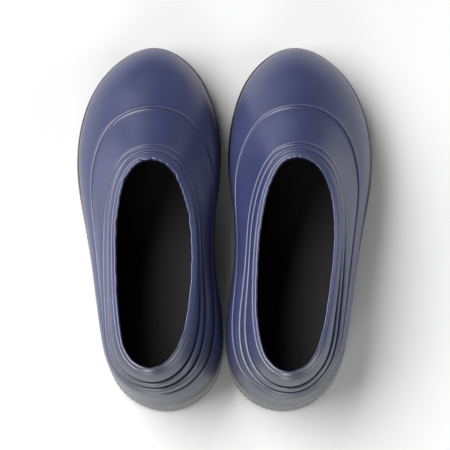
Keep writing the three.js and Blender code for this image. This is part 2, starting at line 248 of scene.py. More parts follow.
def even_stations(curve, step_at, count=4000):
    """Shares u round a closed curve, spaced by the step in mm that step_at gives for each u.

    Their number is rounded to a whole number of ribs.
    """
    u = np.linspace(0, 1, count + 1)
    p = curve(u)
    length = np.linalg.norm(np.diff(p, axis=0), axis=-1)
    steps = np.concatenate([[0], np.cumsum(length / step_at((u[1:] + u[:-1]) / 2))])
    total = round(steps[-1] / STATIONS_PER_RIB) * STATIONS_PER_RIB
    return np.interp(np.arange(total) * steps[-1] / total, steps, u)


def evenly(curve, step):
    """Shares u round a closed curve, one step apart."""
    return even_stations(curve, lambda u: np.full(u.shape, step))


def at_height(flat, z):
    """Level points given a height in millimetres."""
    flat, z = np.asarray(flat), np.asarray(z, float)
    return np.concatenate([flat, np.broadcast_to(z[..., None], flat.shape[:-1] + (1,))], -1)


def turned(boot, points):
    """Millimetre points of a boot's own frame, in metres, toed out and mirrored for a right boot."""
    turn = math.radians(TOE_OUT)
    x = points[..., 0] * math.cos(turn) - points[..., 1] * math.sin(turn)
    y = points[..., 0] * math.sin(turn) + points[..., 1] * math.cos(turn)
    return np.stack([x * boot.mirror, y, points[..., 2]], -1) * MM


def frame_offset(boot):
    """From a turned boot to its place: the foxing's box in the frame gives it."""
    edge = sole_edge(np.arange(FRAME_STATIONS) / FRAME_STATIONS, 0)
    own = turned(boot, at_height(edge, 0))
    low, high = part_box(f"{boot.side}_foxing_strip")
    middle = (np.array(low) + np.array(high)) / 2 - (own.min(0) + own.max(0)) / 2
    return np.array([middle[0], middle[1], 0])


OFFSET = {boot.side: frame_offset(boot) for boot in BOOTS}


def place(boot, points):
    """Millimetre points of a boot's own frame, moved to where the frame has that boot."""
    return turned(boot, points) + OFFSET[boot.side]


# ---- what a user would change ----------------------------------------------------------------
def size(name, description, default):
    """A length in millimetres, kept in metres."""
    return FloatProperty(name=name, description=description, default=default * MM,
                         subtype="DISTANCE", unit="LENGTH", precision=5)


def colour(name, description, default):
    """A colour in linear red, green and blue."""
    return FloatVectorProperty(name=name, description=description, default=default,
                               subtype="COLOR", size=3, min=0, max=1)


class BootSizes(bpy.types.PropertyGroup):
    """Sizes of the moulded detail on both boots."""
    groove_depth: size("Line depth", "Depth of the moulded lines beside the ankle", 1.0)
    groove_half: size("Line half width", "From the middle of a moulded line to its lip", 1.25)
    lip_height: size("Lip height", "Raised lip on each side of a moulded line", 0.4)
    roll_height: size("Roll height", "Swell of the bands between the moulded lines", 1.1)
    bulge: size("Bulge", "Swell of the upper over the top of the foxing", 1.7)
    hatch_pitch: size("Hatch pitch", "Pitch of the fine ribs on the heel's lowest band", 1.3)
    hatch_height: size("Hatch height", "Height of those fine ribs", 0.16)
    rib_pitch: size("Foxing rib pitch", "Pitch of the ribs round the foxing", 1.35)
    rib_depth: size("Foxing rib depth", "Depth between the foxing's ribs", 0.55)
    tooth_pitch: size("Tooth pitch", "Pitch of the teeth along the sole's lower edge", 4.05)
    tooth_depth: size("Tooth depth", "Depth between those teeth", 0.5)
    sipe_pitch: size("Sipe pitch", "Distance between the fine zigzag cuts in the tread", 4.3)
    sipe_depth: size("Sipe depth", "Depth of the fine zigzag cuts", 1.0)


class BootColours(bpy.types.PropertyGroup):
    """Colours of both boots."""
    navy: colour("Navy rubber", "Upper and rolled collar", (0.036, 0.043, 0.118))
    # lip: a painted highlight on the lips of the moulded lines and on the collar's bead; a lighter tint of it
    # colours fine pale specks.
    lip: colour("Lip", "Navy rubber where it is rubbed along the lips", (0.100, 0.108, 0.190))
    # groove: painted shade in the moulded lines, the heel's fine line, the collar's crease and inside, and at
    # the upper's foot.
    groove: colour("Groove", "Navy rubber down in the moulded lines", (0.008, 0.009, 0.026))
    # Painted reflection: a grey laid over the navy towards the heel.
    heel_reflection: colour("Bloom", "Grey haze on the navy rubber of the heel", (0.058, 0.059, 0.075))
    black: colour("Black rubber", "Foxing and outsole", (0.014, 0.014, 0.015))
    # Painted reflection on the crests of the foxing's ribs round the heel.
    crest_reflection: colour("Worn rubber", "Crests of the foxing's ribs", (0.40, 0.40, 0.41))
    knit: colour("Knit", "Lining and the footbed's cover", (0.030, 0.028, 0.028))
    foam: colour("Foam", "Footbed", (0.030, 0.031, 0.034))


class BootStage(bpy.types.PropertyGroup):
    """Floor, light and camera."""
    floor_colour: colour("Floor", "Pale floor", (0.72, 0.72, 0.72))
    key_power: FloatProperty(name="Key light", description="Power of the large light from the left",
                             default=430, min=0, unit="POWER")
    fill_power: FloatProperty(name="Fill light", description="Power of the softer light from the right",
                              default=65, min=0, unit="POWER")
    heel_power: FloatProperty(name="Heel light", description="Power of the low light behind the heels",
                              default=95, min=0, unit="POWER")
    world_strength: FloatProperty(name="Surroundings", description="Brightness of the white room",
                                  default=0.03, min=0)
    focal_length: FloatProperty(name="Focal length", description="Of the camera, in millimetres",
                                default=208.2, min=1, subtype="DISTANCE_CAMERA", unit="CAMERA")


# ---- modelling helpers -----------------------------------------------------------------------
def start_fresh():
    """Object mode, with nothing selected."""
    if bpy.context.object and bpy.context.object.mode != "OBJECT":
        bpy.ops.object.mode_set(mode="OBJECT")
    bpy.ops.object.select_all(action="DESELECT")


def face_outwards(piece):
    """Turns every face of a piece to look outwards."""
    bpy.context.view_layer.objects.active = piece
    bpy.ops.object.mode_set(mode="EDIT")
    bpy.ops.mesh.select_all(action="SELECT")
    bpy.ops.mesh.normals_make_consistent(inside=False)
    bpy.ops.mesh.select_all(action="DESELECT")
    bpy.ops.object.mode_set(mode="OBJECT")


def set_points(piece, points):
    """Moves all the points of a piece, in its own order."""
    piece.data.vertices.foreach_set("co", np.asarray(points).reshape(-1).astype(np.float32))
    piece.data.update()


def get_points(piece):
    """The points of a piece, one to a row."""
    points = np.empty(len(piece.data.vertices) * 3, np.float32)
    piece.data.vertices.foreach_get("co", points)
    return points.reshape(-1, 3)


def extrude(height):
    """Draws the whole active sheet up, or down, into a solid."""
    bpy.ops.object.mode_set(mode="EDIT")
    bpy.ops.mesh.select_all(action="SELECT")
    bpy.ops.mesh.extrude_region_move(TRANSFORM_OT_translate={"value": (0, 0, height)})
    bpy.ops.object.mode_set(mode="OBJECT")


def grid_piece(name, points):
    """An open sheet of rows x columns x 3 points, in metres."""
    start_fresh()
    rows, columns = points.shape[:2]
    bpy.ops.mesh.primitive_grid_add(x_subdivisions=columns - 1, y_subdivisions=rows - 1)
    piece = bpy.context.object
    piece.name = piece.data.name = name
    set_points(piece, points)
    return piece


def closed(values):
    """A grid's values with its first row and its first column repeated at the far end."""
    values = np.concatenate([values, values[:1]])
    return np.concatenate([values, values[:, :1]], axis=1)


def ring_piece(name, loops, smooth_angle=50, painted_light=None):
    """A closed section carried all the way round a boot: stations x corners x 3, in metres.

    A grid is laid out in that shape and its edges are merged. The last argument gives each point a value
    of painted light, which the material reads.
    """
    piece = grid_piece(name, closed(loops))
    if painted_light is not None:
        write_values(piece, "painted_light", closed(painted_light))
    bpy.ops.object.mode_set(mode="EDIT")
    bpy.ops.mesh.select_all(action="SELECT")
    bpy.ops.mesh.remove_doubles(threshold=1e-6)
    bpy.ops.object.mode_set(mode="OBJECT")
    face_outwards(piece)
    bpy.ops.object.shade_smooth_by_angle(angle=math.radians(smooth_angle))
    return piece


def apply_modifier(piece, kind, **settings):
    """Adds a modifier with its settings and applies it."""
    bpy.context.view_layer.objects.active = piece
    modifier = piece.modifiers.new(kind.title(), kind)
    for key, value in settings.items():
        setattr(modifier, key, value)
    bpy.ops.object.modifier_apply(modifier=modifier.name)


def write_values(piece, name, values):
    """Keeps a number for each point of a piece, for its material to read."""
    layer = piece.data.attributes.new(name, "FLOAT", "POINT")
    layer.data.foreach_set("value", np.asarray(values, np.float32).reshape(-1))


def finish_piece(piece, boot, node, slot, part="boot"):
    """Gives a piece its material, parents it to the body that it moves with, and hides the frame's node that
    it stands for.
    """
    piece.data.materials.clear()
    piece.data.materials.append(material(slot))
    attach(piece, f"{boot.side}_{part}")
    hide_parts(f"{boot.side}_{node}")


# ---- materials -------------------------------------------------------------------------------
HEEL_REFLECTION_REACH = (-95 * MM, -130 * MM)  # the grey painted reflection towards the heel starts and is full at these y
CORK_DARK, CORK_PALE, CORK_JOINT = (0.23, 0.11, 0.045), (0.46, 0.27, 0.13), (0.09, 0.045, 0.02)
BOARD_DARK, BOARD_PALE = (0.19, 0.12, 0.065), (0.33, 0.23, 0.14)
FLEECE_DARK, FLEECE_PALE = (0.40, 0.37, 0.30), (0.55, 0.52, 0.44)
STEEL_DARK, STEEL_PALE = (0.22, 0.23, 0.25), (0.34, 0.35, 0.37)


class Nodes:
    """A small hand for building one material's node tree."""

    def __init__(self, name):
        self.material = bpy.data.materials.new(name)
        self.material.use_nodes = True
        self.tree = self.material.node_tree
        self.shader = self.tree.nodes["Principled BSDF"]
        self.place = self.add("ShaderNodeTexCoord").outputs["Object"]

    def add(self, kind, inputs=None, **settings):
        """A new node with its inputs fed and its settings made."""
        node = self.tree.nodes.new(kind)
        for key, value in settings.items():
            setattr(node, key, value)
        for key, value in (inputs or {}).items():
            self.feed(node.inputs[key], value)
        return node

    def feed(self, socket, value):
        """Links a socket, or gives it a fixed value."""
        if isinstance(value, bpy.types.NodeSocket):
            self.tree.links.new(value, socket)
        else:
            socket.default_value = value

    def noise(self, scale, detail=3.0, vector=None):
        """Cloudy noise of about so many spots a metre."""
        inputs = {"Vector": vector or self.place, "Scale": scale, "Detail": detail}
        return self.add("ShaderNodeTexNoise", inputs).outputs["Fac"]

    def stretched(self, scale, vector=None):
        """Coordinates with a scale for each axis, which draw a pattern out."""
        inputs = {"Vector": vector or self.place, "Scale": scale}
        return self.add("ShaderNodeMapping", inputs).outputs[0]

    def cells(self, scale, vector=None, randomness=1.0):
        """The outputs of a field of small cells."""
        inputs = {"Vector": vector or self.place, "Scale": scale, "Randomness": randomness}
        return self.add("ShaderNodeTexVoronoi", inputs).outputs

    def painted_light(self):
        """The painted light written on the piece: painted shade below 0, down in a line, and above 0 a
        painted highlight on a lip or a painted reflection on a rib.
        """
        return self.add("ShaderNodeAttribute", attribute_name="painted_light").outputs["Fac"]

    def scaled(self, value, low, high, to_low, to_high):
        """A value's range moved to another range, and held at its ends."""
        inputs = {0: value, 1: low, 2: high, 3: to_low, 4: to_high}
        return self.add("ShaderNodeMapRange", inputs).outputs[0]

    def mix(self, share, first, second):
        """The first colour turning into the second as share goes from 0 to 1."""
        node = self.add("ShaderNodeMix", data_type="RGBA")
        for key, value in ((0, share), (6, first), (7, second)):
            self.feed(node.inputs[key], value)
        return node.outputs[2]

    def bump(self, height, strength, distance, onto=None):
        """A skin roughened by a height, over another skin where there is one."""
        inputs = {"Height": height, "Strength": strength, "Distance": distance}
        if onto:
            inputs["Normal"] = onto
        return self.add("ShaderNodeBump", inputs).outputs[0]

    def set(self, **values):
        """Feeds the shader's own sockets; an underscore stands for a space."""
        for key, value in values.items():
            self.feed(self.shader.inputs[key.replace("_", " ")], value)
        return self.material


def solid(colour_value):
    """A colour with full alpha."""
    return (*colour_value, 1)


def tint(colour_value, factor):
    """A colour made darker or lighter by a factor."""
    return (*[min(1, c * factor) for c in colour_value], 1)


def navy_rubber(colours):
    """Satin moulded rubber: painted shade and little reflection in its lines, a painted highlight on its
    lips, a grey painted reflection towards the heel.
    """
    n = Nodes("navy_rubber")
    painted_light = n.painted_light()
    cloud = n.scaled(n.noise(22, 4), 0.3, 0.7, 0, 1)
    base = n.mix(cloud, tint(colours.navy, 0.92), tint(colours.navy, 1.1))
    length = n.add("ShaderNodeSeparateXYZ", {0: n.place}).outputs["Y"]
    # Painted reflection: the navy turns grey towards the heel.
    base = n.mix(n.scaled(length, *HEEL_REFLECTION_REACH, 0, 0.85), base, solid(colours.heel_reflection))
    # Painted highlight: above 0, on the lips and the bead's crest, the navy turns to the lip colour.
    base = n.mix(n.scaled(painted_light, 0.15, 0.9, 0, 1), base, solid(colours.lip))
    # Painted shade: below 0, in the lines, the collar's crease and inside and at the upper's foot, the navy
    # turns to the groove colour.
    base = n.mix(n.scaled(painted_light, -0.15, -0.8, 0, 1), base, solid(colours.groove))
    speck = n.scaled(n.noise(420, 2), 0.72, 0.78, 0, 0.25)
    base = n.mix(speck, base, tint(colours.lip, 1.3))
    rough = n.scaled(n.noise(40, 5), 0.25, 0.75, 0.31, 0.41)
    skin = n.bump(n.noise(1500, 2), 0.12, 0.0002)
    skin = n.bump(n.noise(55, 2), 0.1, 0.001, skin)
    # The same painted shade takes most of the reflection away there.
    n.set(Specular_IOR_Level=n.scaled(painted_light, -0.15, -0.8, 0.95, 0.15))
    return n.set(Base_Color=base, Roughness=rough, Normal=skin)


def black_rubber(colours):
    """Black rubber, scuffed all over, with a pale painted reflection on the crests of its ribs round the
    heel.
    """
    n = Nodes("black_rubber")
    cloud = n.scaled(n.noise(35, 4), 0.3, 0.7, 0, 1)
    base = n.mix(cloud, tint(colours.black, 0.8), tint(colours.black, 1.5))
    scuff = n.scaled(n.noise(160, 6), 0.58, 0.72, 0, 0.35)
    base = n.mix(scuff, base, tint(colours.black, 4))
    # Painted reflection: the crests of the ribs round the heel turn pale.
    base = n.mix(n.scaled(n.painted_light(), 0.3, 0.9, 0, 1), base, solid(colours.crest_reflection))
    rough = n.scaled(n.noise(60, 4), 0.3, 0.7, 0.30, 0.42)
    skin = n.bump(n.noise(1200, 2), 0.15, 0.0002)
    n.set(Specular_IOR_Level=0.7)
    return n.set(Base_Color=base, Roughness=rough, Normal=skin)


def knit(colours):
    """A fine jersey: rows of loops that follow the piece's own UV map."""
    n = Nodes("knit")
    courses = n.stretched((110, 420, 1), n.add("ShaderNodeUVMap").outputs[0])
    loops = n.cells(1.0, courses, 0.25)["Distance"]
    base = n.mix(n.scaled(loops, 0.1, 0.6, 0, 1), tint(colours.knit, 1.3), tint(colours.knit, 0.8))
    fuzz = n.noise(900, 3)
    skin = n.bump(loops, 0.25, 0.0002)
    skin = n.bump(fuzz, 0.3, 0.0002, skin)
    n.set(Sheen_Weight=0.04, Sheen_Roughness=0.5, Specular_IOR_Level=0.15)
    return n.set(Base_Color=base, Roughness=n.scaled(fuzz, 0.3, 0.7, 0.88, 0.98), Normal=skin)


def foam(colours):
    """Cut foam with fine open cells."""
    n = Nodes("foam")
    cells = n.cells(900.0)["Distance"]
    base = n.mix(n.scaled(cells, 0.1, 0.7, 0, 1), tint(colours.foam, 0.5), tint(colours.foam, 1.5))
    return n.set(Base_Color=base, Roughness=0.9, Normal=n.bump(cells, 0.5, 0.0004))


def cork(_colours):
    """Pressed cork: grains of many browns with dark joints."""
    n = Nodes("cork")
    grains = n.cells(420.0)
    shade = n.scaled(n.add("ShaderNodeSeparateColor", {0: grains["Color"]}).outputs[0], 0, 1, 0, 1)
    base = n.mix(shade, solid(CORK_DARK), solid(CORK_PALE))
    base = n.mix(n.scaled(grains["Distance"], 0.45, 0.7, 0, 0.8), base, solid(CORK_JOINT))
    return n.set(Base_Color=base, Roughness=0.92, Normal=n.bump(grains["Distance"], 0.6, 0.0005))


def fibreboard(_colours):
    """Brown board with fibres that run along the boot."""
    n = Nodes("fibreboard")
    fibres = n.noise(300, 6, n.stretched((1, 0.25, 1)))
    base = n.mix(n.scaled(fibres, 0.35, 0.65, 0, 1), solid(BOARD_DARK), solid(BOARD_PALE))
    return n.set(Base_Color=base, Roughness=0.88, Normal=n.bump(fibres, 0.4, 0.0003))


def stiffener(_colours):
    """Stiffened fleece in a raw, pale colour."""
    n = Nodes("stiffener")
    fleece = n.noise(700, 5)
    base = n.mix(n.scaled(fleece, 0.35, 0.65, 0, 1), solid(FLEECE_DARK), solid(FLEECE_PALE))
    return n.set(Base_Color=base, Roughness=0.8, Normal=n.bump(fleece, 0.3, 0.0003))


def spring_steel(_colours):
    """Rolled strip, brushed along its length."""
    n = Nodes("spring_steel")
    brushed = n.noise(260, 3, n.stretched((9, 0.3, 9)))
    base = n.mix(n.scaled(brushed, 0.3, 0.7, 0, 1), solid(STEEL_DARK), solid(STEEL_PALE))
    rough = n.scaled(brushed, 0.3, 0.7, 0.28, 0.42)
    n.set(Metallic=1.0)
    return n.set(Base_Color=base, Roughness=rough, Normal=n.bump(brushed, 0.1, 0.0001))


MAKERS = {
    "navy_rubber": navy_rubber, "black_rubber": black_rubber, "knit_lining": knit, "foam": foam,
    "cork": cork, "fibreboard": fibreboard, "stiffener": stiffener, "spring_steel": spring_steel,
}


def material(slot):
    """The one material of a slot, made the first time that it is asked for.

    A material of the frame's own that has the same name makes way for it.
    """
    found = bpy.data.materials.get(slot) or bpy.data.materials.get(slot.removesuffix("_lining"))
    if found and found.get("deck_boots"):
        return found
    if found:
        found.name = f"frame_{found.name}"
    made = MAKERS[slot](bpy.context.scene.boot_colours)
    made["deck_boots"] = True
    return made


# ---- the upper -------------------------------------------------------------------------------
HEEL_HATCH = 0.16  # the fine ribs reach this share of the way round from the heel
HATCH_LEVEL = sum(LINES[0][0]) / 4 * 1.15  # share of the wall's height where their pitch holds
HATCH_EDGE = 0.62  # share of the lowest band's height that they fill
FINE_LINE = 0.66  # share of that height at which a fine line closes them off
FINE_LINE_DEPTH, FINE_LINE_HALF = 0.35, 0.45  # in mm
LINE_SOFTNESS = 0.5  # of a moulded line's half width, for the line itself and for its lips
LIP_PLACE = 1.15  # of that half width, out from the line's middle
LINE_NARROWER = (0.45, 0, 0)  # how much narrower each line is where the lines are wide
LINE_FADING = (0.45, 0.6, 0.6)  # how much of its depth each line loses at the toe
BAND_ROLLS = ((0.9, 1), (1, 1), (0.8, 0), (0.9, 0))  # height, and how much is lost at the toe
BULGE_START, BULGE_END = 2.2, 15  # in mm above the foxing
# Strength of the painted highlight on the lips, of the painted shade in the heel's fine line, and of the
# painted shade at the upper's foot.
LIP_SHADE, FINE_LINE_SHADE, FOOT_DARK = 0.5, 0.7, 0.8
WIDEST_STATION = 2.2  # in mm
UPPER_STEPS = (24, 12, 18, 12, 12, 12, 16)  # rows on the counter, then on each line and band
LINE_ROWS_REACH = 2.1  # of a line's half width, for the close rows over it
LINE_ROWS_LIMIT = 0.42  # of the distance to the next line, so that two lines' rows don't meet
INNER_ROWS = 14

# Shares of the user's sizes at the toe, the inner side, the heel and the outer side.
ROLLS = Quarters(0.3, 0.5, 1.0, 1.7)
LIPS = Quarters(0.9, 0.3, 0.05, 0.0)
GROOVE_WIDTH = Quarters(0.65, 0.95, 1.35, 2.7)
GROOVE_DEPTH = Quarters(1.0, 0.9, 1.4, 1.5)
BULGE = Quarters(0.2, 0.2, 1.2, 0.25)
# How much painted shade the lines get, and how many mm the painted shade at the upper's foot reaches.
GROOVE_SHADE = Quarters(1.0, 0.8, 1.3, 0.9)
FOOT_SHADE = Quarters(0.8, 1.5, 17, 4)


def line_marks(boot, u):
    """Distances up the wall, in mm, of the three lines and of the top line."""
    t, arc = wall_arc(boot, u)
    marks = [lookup(blend(q, u, power)[:, None], t[None, :], arc)[:, 0] for q, power in LINES]
    return (t, arc), [*marks, arc[:, -1]]


def spread(knots, counts):
    """Distances up the wall: counts[k] even steps between knots[k] and the next knot."""
    parts = [low[:, None] + (high - low)[:, None] * (np.arange(n) / n)
             for low, high, n in zip(knots, knots[1:], counts)]
    return np.concatenate([*parts, knots[-1][:, None]], axis=1)


def roll(s, low, high):
    """A band's swell: fullest a little above its middle, nothing at its two edges."""
    x = np.clip((high - s) / (high - low), 0, 1)
    return np.sin(np.pi * x ** 0.8)


def bell(x, middle, half):
    """A smooth hump of height 1 over the middle."""
    return np.exp(-((x - middle) / half) ** 2)


def moulded_lines(sizes, column, s, marks):
    """The three lines and their lips: how far they stand out, and their painted shade and highlight."""
    toe = toe_share(column, 1.5)
    width, lip = blend(GROOVE_WIDTH, column), blend(LIPS, column)
    deep, dark = blend(GROOVE_DEPTH, column), blend(GROOVE_SHADE, column)
    height = shade = np.zeros_like(s)
    for mark, narrower, fading in zip(marks, LINE_NARROWER, LINE_FADING):
        half = sizes.groove_half / MM * width * (1 - narrower * smooth((width - 1) / 1.5))
        x = (s - mark) / half
        line = bell(x, 0, LINE_SOFTNESS)
        lips = lip * (bell(x, LIP_PLACE, LINE_SOFTNESS) + bell(x, -LIP_PLACE, LINE_SOFTNESS))
        height = height - sizes.groove_depth / MM * deep * (1 - fading * toe) * line
        height = height + sizes.lip_height / MM * lips
        shade = shade - dark * line + LIP_SHADE * lips
    return height, shade


def rolled_bands(sizes, column, s, marks):
    """The swell of the counter and of the three bands over it."""
    toe = toe_share(column, 1.5)
    edges = [np.zeros_like(marks[0]), *marks]
    swell = np.zeros_like(s)
    for low, high, (share, fading) in zip(edges, edges[1:], BAND_ROLLS):
        swell = swell + share * (1 - fading * toe) * roll(s, low, high)
    return sizes.roll_height / MM * blend(ROLLS, column) * swell


def hatched_band(sizes, column, s, low, high):
    """The heel's lowest band: fine upright ribs under a fine line, and that line's painted shade."""
    band = (s - low) / (high - low)
    ribs = np.cos(2 * np.pi / STATIONS_PER_RIB * np.arange(len(column)))[:, None]
    ribbed = smooth((band - 0.1) / 0.1) * (band < HATCH_EDGE) * near_heel(column, HEEL_HATCH)
    line = bell((band - FINE_LINE) * (high - low), 0, FINE_LINE_HALF) * near_heel(column, HEEL_HATCH, 0.06)
    height = sizes.hatch_height / MM * ribs * ribbed - FINE_LINE_DEPTH * line
    return height, -FINE_LINE_SHADE * line


def relief_on_upper(sizes, u, s, marks):
    """How far the upper's face stands out from its smooth wall, and a -1 to 1 value of painted shade and
    highlight for its colour.
    """
    column = u[:, None]
    marks = [mark[:, None] for mark in marks]
    lines, line_shade = moulded_lines(sizes, column, s, marks)
    hatch, hatch_shade = hatched_band(sizes, column, s, *marks[:2])
    swell = (1 - bell(s, 0, BULGE_START)) * bell(s, 0, BULGE_END)
    bulge = sizes.bulge / MM * blend(BULGE, column) * swell
    # Painted shade at the upper's foot, darkest where it meets the foxing.
    foot_shade = FOOT_DARK * bell(s, 0, blend(FOOT_SHADE, column))
    height = rolled_bands(sizes, column, s, marks) + lines + bulge + hatch
    return height, line_shade + hatch_shade - foot_shade


def upper_stations(sizes, boot):
    """Shares round the boot: a few to each fine rib at the heel, and wider apart elsewhere."""
    hatch_step = sizes.hatch_pitch / MM / STATIONS_PER_RIB

    def step_at(u):
        return hatch_step + (WIDEST_STATION - hatch_step) * (1 - near_heel(u, HEEL_HATCH + 0.01, 0.005))

    return even_stations(lambda x: wall(boot, x, np.full(x.shape, HATCH_LEVEL)), step_at)


def upper_loops(sizes, boot):
    """The upper's section all the way round, from the margin's edge up outside and down inside."""
    u = upper_stations(sizes, boot)
    (t, arc), marks = line_marks(boot, u)
    reach = LINE_ROWS_REACH * sizes.groove_half / MM * blend(GROOVE_WIDTH, u)
    room = np.minimum(marks[2] - marks[1], marks[3] - marks[2])
    reach = np.minimum(reach, LINE_ROWS_LIMIT * room)
    knots = [np.zeros_like(u)]
    for mark in marks[:3]:
        knots += [mark - reach, mark + reach]
    s = spread([*knots, marks[3]], UPPER_STEPS)
    height, shade = relief_on_upper(sizes, u, s, marks)
    outer = inside(boot, u[:, None], lookup(s, arc, t[None, :]), -height)
    inner = inside(boot, u[:, None], np.linspace(1, 0, INNER_ROWS)[None, :], UPPER_THICK)
    low, high = MARGIN_LOW / MM, MARGIN_HIGH / MM

    def flat(inset, z):
        return at_height(sole_edge(u, inset), z)[:, None]

    wrap = WALL_INSET + UPPER_THICK
    loops = [flat(WALL_INSET, low), outer, inner, flat(wrap, high),
             flat(wrap + MARGIN_WIDTH, high), flat(wrap + MARGIN_WIDTH, low)]
    shades = np.zeros((len(u), sum(part.shape[1] for part in loops)))
    shades[:, 1:1 + s.shape[1]] = shade
    return place(boot, np.concatenate(loops, axis=1)), shades


class UpperOperator(bpy.types.Operator):
    """Moulds both rubber uppers: wall, moulded lines, rolls, hatched heel band and lasting margin"""
    bl_idname = "deck_boots.upper"
    bl_label = "Uppers"

    def execute(self, context):
        for boot in BOOTS:
            loops, shades = upper_loops(context.scene.boot_sizes, boot)
            piece = ring_piece(f"{boot.side}_rubber_upper", loops, smooth_angle=60, painted_light=shades)
            finish_piece(piece, boot, "upper", "navy_rubber")
        return {"FINISHED"}


# ---- the rolled collar -----------------------------------------------------------------------
# Depth into the wall and rise above the top line, in mm: a flange over the upper, a crease, and a
# rolled bead over the lining. Each point also has its painted shade, dark in the crease and on the inside,
# with a faint painted highlight on the bead's crest.
COLLAR_SECTION = (
    (-0.22, 0.3), (-0.25, 0.7), (-0.1, 1.05), (0.2, 1.25), (0.5, 1.3), (0.75, 1.32), (1.0, 1.5),
    (1.3, 1.8), (1.65, 2.15), (2.15, 2.6), (2.7, 3.0), (3.3, 3.2), (3.85, 3.0), (4.3, 2.45), (4.55, 1.7),
    (4.6, 1.0), (4.55, 0.3), (3.5, 0.3), (2.2, 0.3), (1.0, 0.3),
)
COLLAR_SHADE = (0, 0, 0, 0, -0.15, -0.35, -0.2, 0, 0.1, 0.15, 0.2, 0.1, -0.3, -0.8, -0.9, -0.9, -0.9, 0, 0, 0)
COLLAR_STATION = 1.2
RIM_WAVE = 0.4
RIM_WAVE_START = {"left": 0.7, "right": 2.1}  # in radians


def trim_wave(boot, u, amount):
    """The unevenness of a rim that was rolled by hand: slow waves, and a fine one over the instep."""
    turns = 2 * np.pi * u
    start = RIM_WAVE_START[boot.side]
    wave = 0.5 * np.sin(7 * turns + start) + 0.35 * np.sin(17 * turns + 3 * start)
    return amount * (wave + 0.3 * np.sin(41 * turns + start) * (0.3 + toe_share(u, 2)))


class CollarOperator(bpy.types.Operator):
    """Rolls the rubber rim round both top lines"""
    bl_idname = "deck_boots.collar"
    bl_label = "Rolled collars"

    def execute(self, context):
        depth, rise = np.array(COLLAR_SECTION).T
        bead = smooth((depth - 1.2) / 1.5) * smooth(rise / 1.5)  # only the bead waves
        for boot in BOOTS:
            u = evenly(lambda x: wall(boot, x, np.ones(x.shape)), COLLAR_STATION)
            wave = trim_wave(boot, u, RIM_WAVE + boot.ragged * toe_share(u, 2))[:, None]
            loops = inside(boot, u[:, None], np.ones((1, 1)), depth[None, :] - np.abs(wave) * bead)
            loops[..., 2] += rise - np.abs(wave) * bead
            shades = np.broadcast_to(COLLAR_SHADE, loops.shape[:2])
            piece = ring_piece(f"{boot.side}_rolled_collar", place(boot, loops), smooth_angle=180,
                               painted_light=shades)
            finish_piece(piece, boot, "collar_binding", "navy_rubber")
        return {"FINISHED"}


# ---- the foxing ------------------------------------------------------------------------------
TEETH = Quarters(0.3, 0.3, 1.0, 0.7)  # share of the teeth's depth
# How far round from the heel the painted reflection on the rib crests reaches, and how softly it ends.
CREST_REFLECTION_REACH, CREST_REFLECTION_FADE = 0.22, 0.12  # shares of the way round from the heel


def foxing_loops(sizes, boot):
    """The ribbed strip round the sole, with a toothed lower edge and a rounded upper one."""
    pitch = sizes.rib_pitch / MM
    count = len(evenly(lambda x: sole_edge(x, 0), pitch))
    u = evenly(lambda x: sole_edge(x, 0), pitch / STATIONS_PER_RIB)[:count * STATIONS_PER_RIB]
    phase = np.arange(len(u))
    rib = 0.5 - 0.5 * np.cos(2 * np.pi * phase / STATIONS_PER_RIB)
    teeth = round(sizes.tooth_pitch / sizes.rib_pitch) * STATIONS_PER_RIB
    tooth = np.abs(np.mod(phase / teeth, 1) - 0.5) * 2
    ribbed = sizes.rib_depth / MM * rib
    toothed = sizes.tooth_depth / MM * tooth * blend(TEETH, u)
    low, high = FOXING_LOW / MM, FOXING_HIGH / MM
    # Each corner of the section: height, share of the ribs, share of the teeth, plain inset.
    section = (
        (low, 0, 0, FOXING_THICK), (low, 0, 1, 0.8), (low + 0.5, 1, 1, 0.1), (low + 2.6, 1, 1, 0),
        (low + 3.1, 1, 1, 0.2), (low + 3.4, 1, 0, 0.9), (low + 4.0, 1, 0, 0.9), (low + 4.3, 1, 0, 0.4),
        (high - 6, 1, 0, 0.8), (high - 1.6, 1, 0, 1.3), (high - 0.7, 1, 0, 1.55), (high - 0.15, 1, 0, 1.95),
        (high, 0.3, 0, 2.4), (high - 0.5, 0, 0, 2.8), (high - 1.2, 0, 0, FOXING_THICK),
    )
    columns = [at_height(sole_edge(u, ribs * ribbed + cut * toothed + plain), z)
               for z, ribs, cut, plain in section]
    # Painted reflection on the rib crests round the heel.
    crest_reflection = (1 - rib) * near_heel(u, CREST_REFLECTION_REACH, CREST_REFLECTION_FADE)
    crests = np.stack([ribs * crest_reflection for _z, ribs, _cut, _plain in section], axis=1)
    return place(boot, np.stack(columns, axis=1)), crests


class FoxingOperator(bpy.types.Operator):
    """Wraps the ribbed rubber strip round both soles"""
    bl_idname = "deck_boots.foxing"
    bl_label = "Ribbed foxing"

    def execute(self, context):
        for boot in BOOTS:
            loops, crests = foxing_loops(context.scene.boot_sizes, boot)
            piece = ring_piece(f"{boot.side}_ribbed_foxing", loops, smooth_angle=70, painted_light=crests)
            finish_piece(piece, boot, "foxing_strip", "black_rubber")
        return {"FINISHED"}


# ---- lining ----------------------------------------------------------------------------------
LINING_STATION = 2.5
LINING_ROWS = 26


